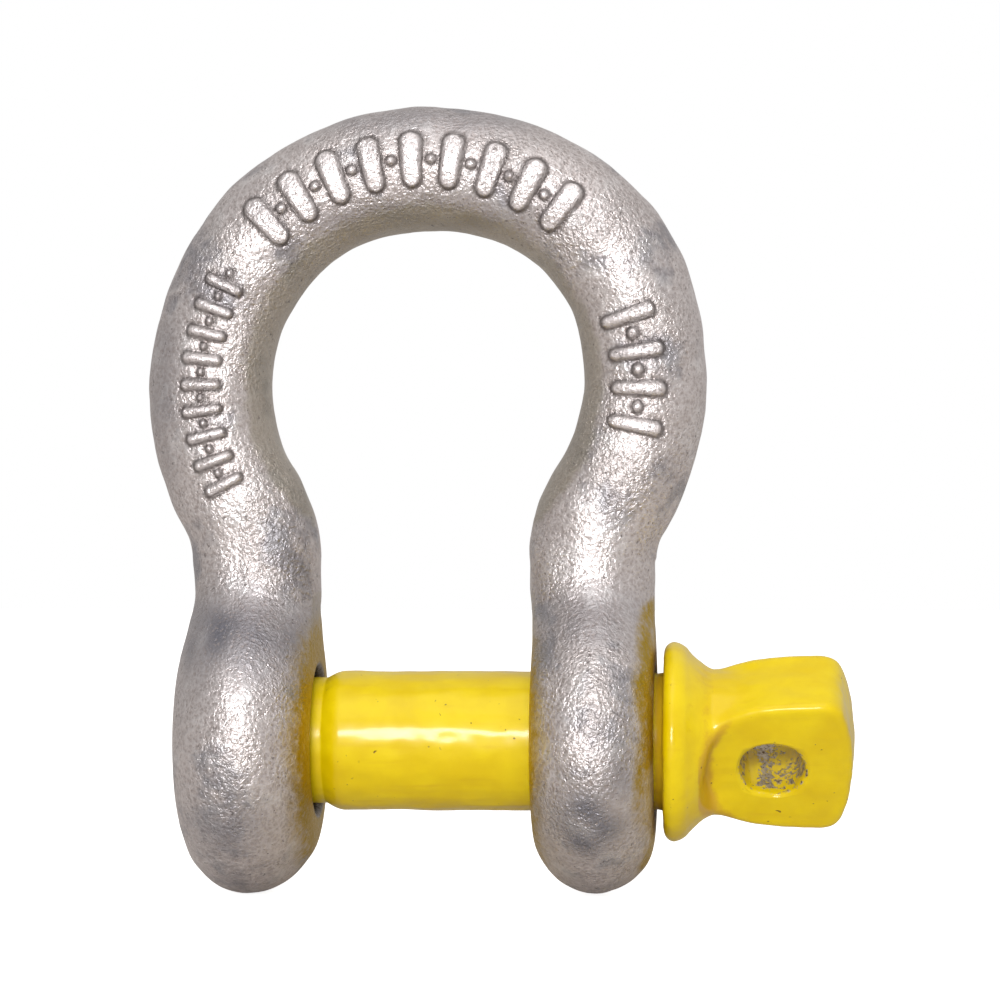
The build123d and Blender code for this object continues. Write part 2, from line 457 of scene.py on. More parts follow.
def raised_height(points):
    """How far each front point stands up in a raised bar: 1 on its top, 0 off it, with
    a steep rounded side; and a second value, 1 along the foot of each bar."""
    along, across = ring_places(points)
    nearest = np.full(len(points), 9.0)
    for bar in raised_bars():
        nearest = np.minimum(nearest, bar_distance(along, across, bar))
    front = eased(-points[:, 1], 0.5, 1.5) * eased(points[:, 2], 15.0, 17.0)
    top = faded(nearest, -0.22, 0.16) * front
    foot = hump(nearest, 0.12, 0.2) * front
    return top, foot


def bow_relief(points):
    """Long swells of the forging, small lumps of zinc, fuller places outside the threaded
    leg and inside the plain one, and the raised bars."""
    top, foot = raised_height(points)
    x, z = points[:, 0], points[:, 2]
    swell = (0.10 * rolling(points, wavelength=14.0, waves=24, seed=3)
             + 0.05 * rolling(points, wavelength=5.0, waves=32, seed=5))
    lumps = (0.014 * rolling(points, wavelength=2.2, waves=48, seed=7)
             + 0.004 * rolling(points, wavelength=0.9, waves=48, seed=9))
    leg_end = hump(z, 17.0, 6.0)
    outside_threaded = eased(-x, 16.5, 20.0) * leg_end
    inside_plain = faded(x, 10.5, 13.0) * (x > 0) * leg_end
    swell = swell + 0.55 * outside_threaded + 0.25 * inside_plain
    calm = eased(np.hypot(points[:, 1], z), *calm_radii)
    return calm * (swell + lumps) + mark_height * top - mark_groove * foot


def painted_shade_patches(points):
    """0 to 1 in the bluish patches of painted shade on the zinc, dark reflections painted where
    the bow would mirror a dark room: a sum of soft round blots, each with its place and its
    radii along X and Z."""
    blots = (
        (15.4, -6.6, 2.6, 3.0, 1.0),             # low on the plain ear
        (18.6, -2.0, 1.6, 4.5, 0.4),             # beside its highlight
        (15.8, 11.5, 5.0, 2.6, 0.45),            # where the plain ear meets its leg
        (-16.5, 10.0, 8.0, 3.8, 0.75),           # the same on the threaded side
        (-16.8, -7.2, 3.0, 2.6, 0.6),            # low on the threaded ear
        (-24.0, 32.0, 1.8, 8.0, 0.35),           # outer edge of the threaded side
        (1.0, 48.0, 11.0, 2.4, 0.55),            # under the crown
        (1.0, 57.6, 13.0, 1.8, 0.45),            # along its top
    )
    painted_shade = np.zeros(len(points))
    for x, z, half_x, half_z, strength in blots:
        away = ((points[:, 0] - x) / half_x)**2 + ((points[:, 2] - z) / half_z)**2
        painted_shade = painted_shade + strength * np.exp(-away)
    # The painted shade is strongest on the front, the -Y side.
    on_front = 1.0 - 0.6 * eased(points[:, 1], -4.0, 4.0)
    broken = 0.9 + 0.2 * rolling(points, wavelength=4.0, waves=24, seed=53)
    return np.clip(painted_shade * broken * on_front, 0.0, 1.0)


def bow_masks(points):
    """What the zinc's material reads at each point, 0 to 1: patches of painted shade, the raised
    tops for a painted highlight and the lines at their feet for painted shade, the dark bores,
    the painted reflection of the yellow pin on the ears and painted olive shade on the inner
    side."""
    top, foot = raised_height(points)
    x, z = points[:, 0], points[:, 2]
    from_middle = np.abs(x)
    from_axis = np.hypot(points[:, 1], z)
    bore = faded(from_axis, 6.9, 7.5) * (from_middle < 23.4)
    # Painted reflection of the yellow pin on the ear faces beside it and beside the collar.
    near_pin = faded(from_axis, 7.4, 10.8) * faded(from_middle, 10.4, 13.0)
    cheek = faded(from_axis, 8.0, 14.2) * faded(from_middle, 11.5, 14.0)
    collar_side = faded(from_axis, 12.6, 14.2) * eased(x, 18.6, 20.6)
    broken = 0.85 + 0.4 * rolling(points, wavelength=6.0, waves=24, seed=51)
    painted_pin_reflection = np.maximum(near_pin, 0.8 * cheek)
    painted_pin_reflection = np.maximum(painted_pin_reflection, 0.6 * collar_side * broken)
    above_ears = z > 14.0
    # Painted olive shade on the inner side of the bow and, weaker, on the jaw faces.
    inside_bow = faded(np.hypot(x, z - bow_centre_z), 15.0, 18.0) * above_ears
    jaw_face = faded(from_middle, 10.2, 10.6) * ~above_ears
    return {
        "painted_shade": painted_shade_patches(points),
        # The raised tops take a painted highlight and the feet a painted shade line.
        "raised": top,
        "foot": foot,
        "bore": bore,
        "painted_pin_reflection": painted_pin_reflection * (1 - bore),
        "inner_side": np.maximum(inside_bow, 0.6 * jaw_face),
    }


def bow_mesh():
    """The bow's skin: one grid of rings from ear tip to ear tip, and a tube through each
    ear whose rings grow from a patch of the grid's cells to the round mouth."""
    columns = 144
    points, centres = bow_grid(columns)
    skin = Skin()
    numbers = skin.add(points)
    keep = np.ones((len(points) - 1, columns), bool)
    patch_half = 8.9
    for side in (-1, 1):
        on_side = np.sign(centres[:, 0]) == side
        high = points[:, 0, 2]
        rows = np.flatnonzero(on_side & (high > -patch_half) & (high < patch_half))
        first_row, last_row = rows[0], rows[-1]
        middle_row = rows[np.argmin(np.abs(high[rows]))]
        width = np.abs(points[middle_row, :, 1])
        outside = points[middle_row, :, 0] * side > 16.5
        outer = np.flatnonzero((width < patch_half) & outside)
        split = np.flatnonzero(np.diff(outer) > 1)
        if len(split):
            outer = np.roll(outer, -(split[0] + 1))
        inner = (columns // 2 - outer) % columns
        for ring in (outer, inner):
            cells = np.sort(np.stack([ring[:-1], ring[1:]]), axis=0)
            start = np.where(cells[1] - cells[0] > 1, cells[1], cells[0])
            keep[first_row:last_row, start] = False
        near = patch_rim(numbers, first_row, last_row, inner)
        far = patch_rim(numbers, first_row, last_row, outer)
        skin.band(ear_tube(skin, side, near, far))
    skin.band(numbers, keep)
    for row, side in ((0, -1), (len(points) - 1, 1)):
        ear_x = plain_ear_x if side > 0 else threaded_ear_x
        tip = skin.add(np.array([[ear_x, 0.0, -ear_radius]]))[0]
        skin.cap(numbers[row], tip)
    mesh, points = skin.mesh("bow_forging", bow_relief)
    for name, values in bow_masks(points).items():
        paint_attribute(mesh, name, values)
    return mesh


def ear_tube(skin, side, near, far):
    """Rings from the jaw side's patch, round its softened mouth, along the bore or the
    thread, and out to the outer face's patch."""
    points = np.concatenate(skin.points)
    reach = 12.0
    angle_near, angle_far = [
        np.arctan2(points[rim][:, 2], points[rim][:, 1]) for rim in (near, far)
    ]
    angle_far = angle_near + (angle_far - angle_near + math.pi) % FULL_TURN - math.pi
    out_x = plain_ear_face if side > 0 else threaded_ear_face
    bore = plain_bore_radius if side > 0 else relief_radius
    far_bore = bore if side > 0 else thread_minor_radius + thread_depth + thread_gap
    mouth = bore + ear_chamfer
    far_mouth = far_bore + ear_chamfer
    rows = [near]

    def face_ring(rim, share, mouth_radius, outward):
        """Between the patch's rim and the mouth, on the ear's face."""
        place = points[rim]
        radius = np.hypot(place[:, 1], place[:, 2])
        angle = np.arctan2(place[:, 2], place[:, 1])
        radius = radius + (mouth_radius - radius) * share
        flat = np.stack([
            np.full(len(rim), side * plain_ear_x), radius * np.cos(angle), radius * np.sin(angle)
        ], axis=-1)
        ray = np.zeros((len(rim), 3))
        ray[:, 0] = side * outward
        return skin.add(cast(partial(leg_field, side=side), flat, ray, reach))

    def bore_ring(x, radius, share):
        """A ring inside the bore; the thread's ridge stands in from its root."""
        angle = angle_near + (angle_far - angle_near) * share
        return skin.add(np.stack([
            np.full(len(near), x) * side, radius * np.cos(angle), radius * np.sin(angle)
        ], axis=-1))

    shares = (0.3, 0.6, 0.85, 1.0)
    for share in shares:
        rows.append(face_ring(near, share, mouth, -1))
    rounding = np.linspace(0.0, math.pi / 2, 6)[1:]
    for bend in rounding:
        x = jaw_half_width + ear_chamfer * (1 - math.cos(bend))
        rows.append(bore_ring(x, mouth - ear_chamfer * math.sin(bend), 0.0))
    start_x = jaw_half_width + ear_chamfer
    end_x = out_x - ear_chamfer
    if side > 0:
        for x in spaced(start_x, end_x, 0.8)[1:]:
            rows.append(bore_ring(x, bore, (x - start_x) / (end_x - start_x)))
    else:
        relief_stop = -relief_end_x
        for x in spaced(start_x, relief_stop, 0.5)[1:]:
            rows.append(bore_ring(x, bore, 0.0))
        for x in spaced(relief_stop, end_x + ear_chamfer * 0.5, 0.16):
            share = (x - relief_stop) / (end_x - relief_stop)
            angle = angle_near + (angle_far - angle_near) * min(share, 1.0)
            ridge = thread_minor_radius + thread_gap + thread_depth * thread_wave(-x, angle)
            lead = (x - relief_stop) / relief_lead_in
            opened = relief_radius - lead * (relief_radius - relief_foot_radius)
            rows.append(bore_ring(x, np.maximum(ridge, opened), min(share, 1.0)))
    for bend in rounding[::-1]:
        x = out_x - ear_chamfer * (1 - math.cos(bend))
        rows.append(bore_ring(x, far_mouth - ear_chamfer * math.sin(bend), 1.0))
    for share in shares[::-1]:
        rows.append(face_ring(far, share, far_mouth, 1))
    rows.append(far)
    return np.array(rows)


# ---------------------------------------------------------------- the pin

def collar_arc(first, middle, last, count):
    """Points of the circle through three points of an outline, without the last."""
    first, middle, last = [np.array(place, float) for place in (first, middle, last)]
    a = middle - first
    b = last - first
    double_area = 2 * (a[0] * b[1] - a[1] * b[0])
    to_centre = np.array([
        b[1] * (a @ a) - a[1] * (b @ b), a[0] * (b @ b) - b[0] * (a @ a)
    ]) / double_area
    centre = first + to_centre
    angles = [math.atan2(*(place - centre)[::-1]) for place in (first, middle, last)]
    for index in (1, 2):
        angles[index] = angles[0] + (angles[index] - angles[0] + math.pi) % FULL_TURN - math.pi
    swept = np.linspace(angles[0], angles[2], count, endpoint=False)
    radius = np.hypot(*to_centre)
    return np.stack([centre[0] + radius * np.cos(swept), centre[1] + radius * np.sin(swept)], 1)


def turned_profile():
    """Outline of the turned part of the pin, tip to collar: place along X and radius."""
    rows = [(tip_x, radius) for radius in (1.2, 2.5, 3.8, 4.6)]
    rows += [(tip_x + 0.08, 4.9), (tip_x + 0.2, tip_radius + 0.05)]
    rows += [(x, shank_radius) for x in spaced(tip_x + 0.3, thread_end_x, 0.1)]
    rows += [(thread_end_x, thread_minor_radius), (thread_end_x + 0.05, 5.4)]
    rows += [(thread_end_x + 0.12, 5.72), (thread_end_x + 0.3, neck_radius)]
    rows += [(x, neck_radius) for x in spaced(thread_end_x + 0.6, neck_end_x - 0.2, 0.3)]
    for x in spaced(neck_end_x - 0.2, neck_end_x + cone_run + 0.2, 0.1):
        share = np.clip((x - neck_end_x + 0.1) / (cone_run + 0.2), 0.0, 1.0)
        swelling = math.sin(share * math.pi / 2)
        rows.append((x, neck_radius + (shank_radius - neck_radius) * swelling))
    rows += [(x, shank_radius) for x in spaced(neck_end_x + cone_run + 0.2, step_x, 0.35)]
    step_end_x = step_x + step_run + 0.1
    for x in spaced(step_x, step_end_x, 0.1):
        share = eased(x, step_x, step_x + step_run)
        rows.append((x, shank_radius + (eye_radius - shank_radius) * share))
    rows += [(x, eye_radius) for x in spaced(step_end_x, collar_x - 0.1, 0.5)]
    rows += [(collar_x - 0.05, eye_radius + 0.1), (collar_x, eye_radius + 0.4)]
    rows += [(collar_x, radius) for radius in (7.2, 7.8, 8.2)]
    crest = (collar_crest_x, collar_radius)
    rows += collar_arc(collar_back, collar_back_bend, crest, 9).tolist()
    rows += collar_arc(crest, collar_front_bend, collar_front, 8).tolist()
    return np.array(rows)


def head_field(points):
    """Outside-ness of the head beyond the collar: a waisted round blank with a round
    pocket pressed flat on each side, softly joined to the flat tab."""
    x = points[..., 0]
    high = np.abs(points @ tab_normal)
    wide = np.abs(points @ tab_across)
    from_axis = np.hypot(high, wide)
    cone = np.interp(
        x, (neck_foot_x, neck_far_x, head_end_x),
        (neck_foot_radius, neck_far_radius, head_end_radius),
    )
    collar_front_x, collar_front_radius = collar_front
    down = 1 - np.clip((x - collar_front_x) / waist_run, 0.0, 1.0)
    waist = (collar_front_radius - neck_foot_radius) * down**waist_curve
    dome = x - head_end_x + head_dome_depth * (from_axis / neck_far_radius)**2
    blank = soft_max(from_axis - cone - waist, dome, end_edge_round)
    pocket_round = np.hypot(x - pocket_x, wide) - pocket_radius
    run_out = np.minimum(pocket_round, np.maximum(pocket_x - x, wide - pocket_reach))
    kept = soft_min(-run_out, high - tab_half_thickness, pocket_edge_round)
    head = soft_max(blank, kept, pocket_rim_round)
    half = tab_half_width - tab_waist * np.exp((tab_root_x - x) / tab_flare)
    rise = head_end_x - tab_wide_x
    end_radius = (tab_half_width**2 + rise**2) / (2 * rise)
    end = np.hypot(x - (head_end_x - end_radius), wide) - end_radius
    outline = soft_max(wide - half, end, tab_corner_round)
    tab = soft_max(high - tab_half_thickness, outline, tab_edge_round)
    tab = soft_max(tab, tab_root_x - x, tab_root_round)
    return soft_min(head, tab, tab_root_round)


def pin_grid(columns):
    """Points of the pin: rings of the turned outline with the thread's ridge on them,
    then rings of rays out to the head, the last ones fanning to its end."""
    angle = np.arange(columns) * FULL_TURN / columns
    profile = turned_profile()
    x = profile[:, :1] + 0 * angle
    radius = profile[:, 1:] + 0 * angle
    around = np.cos(angle)[:, None] * tab_across + np.sin(angle)[:, None] * tab_normal
    world_angle = np.arctan2(around[:, 2], around[:, 1])
    ridge = thread_minor_radius + thread_depth * thread_wave(x, world_angle[None, :])
    chamfer = tip_radius + np.minimum(x - tip_x, thread_end_x - x)
    threaded = (profile[:, 0] > tip_x + 0.25) & (profile[:, 0] < thread_end_x - 0.01)
    radius[threaded] = np.clip(np.minimum(ridge, chamfer), thread_minor_radius, None)[threaded]
    turned = np.stack([x, radius * around[:, 1], radius * around[:, 2]], axis=-1)

    start_x, flat_x, fan_x = collar_front[0], 27.5, 36.3
    straight = spaced(start_x, fan_x, 0.17)
    fan = spaced(math.pi / 2, 0.02, 0.042)
    centre_x = np.concatenate([straight, np.full(len(fan), fan_x)])
    lean = np.concatenate([np.full(len(straight), math.pi / 2), fan])[:, None]
    flatness = eased(centre_x, start_x, flat_x)[:, None]
    wide = 1.0 + 0.3 * flatness                # rays crowd towards the tab's two sides
    high = 1.0 - 0.28 * flatness
    sideways = wide * np.cos(angle) * np.sin(lean)
    upward = high * np.sin(angle) * np.sin(lean)
    rays = sideways[..., None] * tab_across + upward[..., None] * tab_normal
    rays[..., 0] = 0.75 * np.cos(lean)
    rays /= np.linalg.norm(rays, axis=-1)[..., None]
    origins = np.zeros_like(rays)
    origins[..., 0] = centre_x[:, None]
    reach = 12.0
    return np.concatenate([turned, cast(head_field, origins, rays, reach)])


def pin_relief(points):
    """Slow waves and runs in the thick paint, left out on the thread, and the head's
    unevenness as forged."""
    x = points[:, 0]
    painted = eased(x, thread_end_x, thread_end_x + 0.8)
    waves = (0.020 * rolling(points, wavelength=4.0, waves=32, seed=21)
             + 0.012 * rolling(points, wavelength=1.6, waves=40, seed=23))
    drawn_out = points * np.array([0.18, 1.0, 1.0])
    streaks = 0.012 * rolling(drawn_out, wavelength=1.3, waves=32, seed=25)
    forged = 0.05 * rolling(points, wavelength=7.0, waves=24, seed=27) * eased(x, 24.0, 27.0)
    return painted * (waves + streaks) + forged


def pin_masks(points):
    """What the paint's material reads at each point, 0 to 1: metal without paint, worn
    edges, and recesses where a darker ochre is painted as shade."""
    x = points[:, 0]
    wide = points @ tab_across
    high = np.abs(points @ tab_normal)
    radius = np.hypot(points[:, 1], points[:, 2])
    from_hole = np.hypot(x - wire_hole_x, wide)
    in_tab = x > 28.0
    in_hole = in_tab * faded(from_hole, 2.95, 3.35) * faded(high, 3.3, 3.8)
    worn_rim = in_tab * hump(from_hole, 3.1, 0.22) * eased(high, 2.9, 3.4)
    wear = rolling(points, wavelength=2.2, waves=32, seed=31)
    on_thread = faded(x + 0.5 * wear, thread_end_x - 0.2, thread_end_x + 0.6)
    in_eye = eased(x + 0.25 * wear, 10.4, 11.4) * faded(x, 21.0, 21.9) * (radius < 6.6)
    crest = hump(radius, collar_radius, 0.16) * (np.abs(x - 23.3) < 0.8)
    # Painted shade at the head's waist, at the threaded ear's mouth, behind the collar and in
    # the pocket's corner.
    waist = hump(x, 26.0, 1.1)
    jaw_mouth = hump(x, -9.0, 0.9)
    behind_collar = hump(x, 21.8, 0.5)
    pocket_edge = np.hypot(x - pocket_x, wide) - pocket_radius
    corner = hump(pocket_edge, 0.0, 0.8) * faded(x, 27.5, 30.5) * (x > 25.4)
    hollow_shade = 0.4 * waist + 0.3 * jaw_mouth + behind_collar + 0.5 * corner
    bare = np.maximum(np.maximum(on_thread, 0.42 * in_eye), 0.6 * in_hole)
    return {
        "bare": bare,
        "worn": np.maximum(0.62 * worn_rim, 0.3 * crest),
        "hollow_shade": np.clip(hollow_shade, 0.0, 1.0),
    }


def pin_mesh():
    """The pin's skin: one grid of rings from tip to end, with a tube of rings through the
    tab between two patches of the grid's cells."""
    columns = 192
    points = pin_grid(columns)
    skin = Skin()
    numbers = skin.add(points)
    keep = np.ones((len(points) - 1, columns), bool)
    patch_half = 3.9
    place = points[:, columns // 4, 0]
    rows = np.flatnonzero(np.abs(place - wire_hole_x) < patch_half)
    first_row, last_row = rows[0], rows[-1]
    middle_row = (first_row + last_row) // 2
    wide = points[middle_row] @ tab_across
    high = points[middle_row] @ tab_normal
    near_columns = np.flatnonzero((np.abs(wide) < patch_half) & (high > 0))
    far_columns = (columns - near_columns) % columns
    for ring in (near_columns, far_columns):
        start = np.minimum(ring[:-1], ring[1:])
        keep[first_row:last_row, start] = False
    near = patch_rim(numbers, first_row, last_row, near_columns)
    far = patch_rim(numbers, first_row, last_row, far_columns)
    skin.band(hole_tube(skin, near, far))
    skin.band(numbers, keep)
    skin.cap(numbers[0], skin.add(np.array([[tip_x, 0.0, 0.0]]))[0])
    skin.cap(numbers[-1], skin.add(np.array([[head_end_x, 0.0, 0.0]]))[0])
    mesh, points = skin.mesh("screw_pin", pin_relief)
    for name, values in pin_masks(points).items():
        paint_attribute(mesh, name, values)
    return mesh


def hole_tube(skin, near, far):
    """Rings from one face's patch, over the hole's rounded mouth, through the tab and
    out to the other face's patch; the hole is a little out of round."""
    points = np.concatenate(skin.points)
    mouth = wire_hole_radius + hole_mouth_round
    reach = 8.0
    rows = [near]

    def polar(rim):
        """Distance and angle about the hole's axis."""
        place = points[rim]
        x = place[:, 0] - wire_hole_x
        wide = place @ tab_across
        return np.hypot(x, wide), np.arctan2(wide, x)

    def ring(radius, angle, high):
        """Points round the hole's axis at a height above the tab's middle."""
        middle = np.array([wire_hole_x, 0.0, 0.0])
        return (
            middle + np.outer(radius * np.cos(angle), (1.0, 0.0, 0.0))
            + np.outer(radius * np.sin(angle), tab_across)
            + np.outer(high + 0 * angle, tab_normal)
        )

    def face_ring(rim, share, side):
        """Between the patch's rim and the mouth, on the tab's face."""
        radius, angle = polar(rim)
        radius = radius + (mouth - radius) * share
        ray = np.broadcast_to(tab_normal * side, (len(rim), 3))
        return skin.add(cast(head_field, ring(radius, angle, 0.0), ray, reach))

    shares = (0.35, 0.7, 1.0)
    rounding = np.linspace(0.0, math.pi / 2, 6)[1:]
    for share in shares:
        rows.append(face_ring(near, share, 1))
    _, angle = polar(near)
    inner = ring(np.full(len(near), wire_hole_radius), angle, 0.0)
    rough = hole_unevenness * rolling(inner, wavelength=2.4, waves=24, seed=41)
    heights = [
        tab_half_thickness - hole_mouth_round * (1 - math.cos(bend)) for bend in rounding
    ]
    radii = [mouth - hole_mouth_round * math.sin(bend) + rough for bend in rounding]
    walls = list(np.linspace(heights[-1], -heights[-1], 12)[1:-1])
    for high, radius in zip(heights, radii):
        rows.append(skin.add(ring(radius, angle, high)))
    for high in walls:
        rows.append(skin.add(ring(radii[-1], angle, high)))
    for high, radius in zip(heights[::-1], radii[::-1]):
        rows.append(skin.add(ring(radius, angle, -high)))
    for share in shares[::-1]:
        rows.append(face_ring(far, share, -1))
    rows.append(far)
    return np.array(rows)


# ---------------------------------------------------------------- material helpers

def srgb(red, green, blue):
    """A colour given as it looks on a screen, 0 to 255, made linear."""
    parts = np.array([red, green, blue]) / 255
    linear = np.where(parts <= 0.04045, parts / 12.92, ((parts + 0.055) / 1.055)**2.4)
    return (*linear.tolist(), 1.0)


def connect(tree, node, inputs):
    """Give a node its inputs, each a constant or the socket that feeds it."""
    for key, value in inputs.items():
        if isinstance(value, bpy.types.NodeSocket):
            tree.links.new(value, node.inputs[key])
        else:
            node.inputs[key].default_value = value


def put(tree, kind, inputs, **settings):
    """Add a node with its settings and inputs."""
    node = tree.nodes.new(kind)
    for name, value in settings.items():
        setattr(node, name, value)
    connect(tree, node, inputs)
    return node


def noise(tree, vector, size_mm, detail=2.0, roughness=0.5):
    """Cloudy value with features of about the given size."""
    return put(tree, "ShaderNodeTexNoise", {
        "Vector": vector, "Scale": 1 / (size_mm * MM), "Detail": detail, "Roughness": roughness,
    }).outputs["Fac"]


def cells(tree, vector, size_mm):
    """Distance from the middle of the nearest crystal, of about the given size."""
    return put(tree, "ShaderNodeTexVoronoi", {
        "Vector": vector, "Scale": 1 / (size_mm * MM),
    }).outputs["Distance"]


def rise(tree, value, low, high, to_low=0.0, to_high=1.0):
    """A smooth step of a value from low to high."""
    return put(tree, "ShaderNodeMapRange", {
        "Value": value, "From Min": low, "From Max": high, "To Min": to_low, "To Max": to_high,
    }, interpolation_type="SMOOTHSTEP").outputs["Result"]


def combine(tree, operation, first, second):
    """One arithmetic step on two values."""
    return put(tree, "ShaderNodeMath", {0: first, 1: second}, operation=operation).outputs[0]


def times(tree, first, second):
    """The product of two values."""
    return combine(tree, "MULTIPLY", first, second)


def plus(tree, first, second):
    """The sum of two values."""
    return combine(tree, "ADD", first, second)


def minus(tree, first, second):
    """The first value less the second."""
    return combine(tree, "SUBTRACT", first, second)


def larger(tree, first, second):
    """The larger of two values."""
    return combine(tree, "MAXIMUM", first, second)


def blend_colour(tree, share, under, over):
    """Over laid on under by a share."""
    return put(tree, "ShaderNodeMix", {0: share, 6: under, 7: over}, data_type="RGBA").outputs[2]


def stored(tree, name):
    """A number stored on the mesh's points."""
    return put(tree, "ShaderNodeAttribute", {}, attribute_name=name).outputs["Fac"]


def new_group(name, inputs, outputs):
    """An empty shader node group with named sockets."""
    tree = bpy.data.node_groups.new(name, "ShaderNodeTree")
    for label, kind in inputs.items():
        tree.interface.new_socket(label, in_out="INPUT", socket_type=kind)
    for label in outputs:
        tree.interface.new_socket(label, in_out="OUTPUT", socket_type="NodeSocketFloat")
    return tree, tree.nodes.new("NodeGroupInput"), tree.nodes.new("NodeGroupOutput")


def placed(tree, group, inputs):
    """A group's node with its own values."""
    node = tree.nodes.new("ShaderNodeGroup")
    node.node_tree = group
    connect(tree, node, inputs)
    return node.outputs


def zinc_crust_group():
    """Crystals of the zinc coat: their height, a random tone for each, frosted patches and
    small dark pits."""
    tree, source, sink = new_group(
        "zinc_crust", {"Vector": "NodeSocketVector"}, ["Height", "Tone", "Frost", "Pits"]
    )
    vector = source.outputs["Vector"]
    warp = put(tree, "ShaderNodeTexNoise", {"Vector": vector, "Scale": 1100.0, "Detail": 1.0})
    warp_reach = (0.55 * MM,) * 3
    bent = put(tree, "ShaderNodeVectorMath", {
        0: warp.outputs["Color"], 1: warp_reach,
    }, operation="MULTIPLY").outputs[0]
    bent = put(tree, "ShaderNodeVectorMath", {0: vector, 1: bent}).outputs[0]
    big = cells(tree, bent, size_mm=0.42)
    fine = cells(tree, bent, size_mm=0.21)
    grit = noise(tree, vector, size_mm=0.2, detail=3.0, roughness=0.6)
    lumps = noise(tree, vector, size_mm=1.3)
    height = times(tree, big, 0.6)
    height = plus(tree, height, times(tree, fine, 0.35))
    height = plus(tree, height, times(tree, grit, 0.3))
    crumpled = rise(tree, noise(tree, vector, size_mm=7.0), 0.42, 0.58, 0.5, 1.0)
    height = times(tree, height, crumpled)
    height = plus(tree, height, times(tree, lumps, 0.45))
    tone = plus(tree, times(tree, big, 0.6), grit)
    tone = rise(tree, tone, 0.35, 1.05)
    frost = noise(tree, vector, size_mm=3.2, detail=4.0, roughness=0.65)
    frost = rise(tree, frost, 0.5, 0.66)
    pits = rise(tree, noise(tree, vector, size_mm=0.5, roughness=0.65), 0.64, 0.72)
    for name, value in (("Height", height), ("Tone", tone), ("Frost", frost), ("Pits", pits)):
        tree.links.new(value, sink.inputs[name])
    return tree


def shade_and_specks_group():
    """Painted shade that gathers where a mask is high, with a ragged edge, and loose specks."""
    tree, source, sink = new_group(
        "shade_and_specks", {"Vector": "NodeSocketVector", "Gather": "NodeSocketFloat"}, ["Stain", "Specks"]
    )
    vector = source.outputs["Vector"]
    ragged = noise(tree, vector, size_mm=1.6, detail=5.0, roughness=0.65)
    shade_share = plus(tree, source.outputs["Gather"], minus(tree, ragged, 0.5))
    shade_share = rise(tree, shade_share, 0.3, 0.75)
    specks = rise(tree, noise(tree, vector, size_mm=0.55, detail=1.0), 0.73, 0.78)
    flocks = rise(tree, noise(tree, vector, size_mm=6.0, detail=1.0), 0.45, 0.6)
    specks = times(tree, specks, flocks)
    tree.links.new(shade_share, sink.inputs["Stain"])
    tree.links.new(specks, sink.inputs["Specks"])
    return tree


zinc_deep, zinc_pale = srgb(175, 164, 161), srgb(214, 207, 206)
frosted_zinc = srgb(236, 233, 233)
# Bluish zinc, used for random patches of tone and for the patches of painted shade.
bluish_zinc_and_shade = srgb(112, 113, 124)
# Olive grey painted as shade on the bow's inner side.
olive_shade_zinc = srgb(168, 160, 143)
# Painted highlight for the raised bars' tops and painted shade for the lines at their feet.
raised_highlight, foot_shade_line = srgb(228, 221, 221), srgb(92, 84, 82)
zinc_pit = srgb(84, 76, 74)
# Yellow painted on the ears as a reflection of the pin.
pin_reflection_yellow = srgb(170, 140, 26)
bore_scale = srgb(96, 88, 80)
paint_deep, paint_bright = srgb(219, 188, 0), srgb(231, 204, 5)
paint_streak = srgb(214, 176, 10)
# Darker ochre painted as shade in the pin's recesses.
paint_shade_ochre = srgb(196, 150, 34)
paint_speck = srgb(120, 88, 20)
steel_dark, steel_pale = srgb(120, 104, 84), srgb(196, 186, 172)
steel_pit = srgb(92, 66, 34)
floor_grey = srgb(216, 212, 208)

zinc_crust = zinc_crust_group()
shade_and_specks = shade_and_specks_group()


def new_material(name):
    """A material with its shader, its tree and the object's own coordinates."""
    material = bpy.data.materials.new(name)
    material.use_nodes = True
    tree = material.node_tree
    shader = tree.nodes["Principled BSDF"]
    vector = put(tree, "ShaderNodeTexCoord", {}).outputs["Object"]
    return material, tree, shader, vector


def feed(tree, shader, **sockets):
    """Link values to the shader's sockets, named with underscores for spaces."""
    for name, value in sockets.items():
        tree.links.new(value, shader.inputs[name.replace("_", " ")])


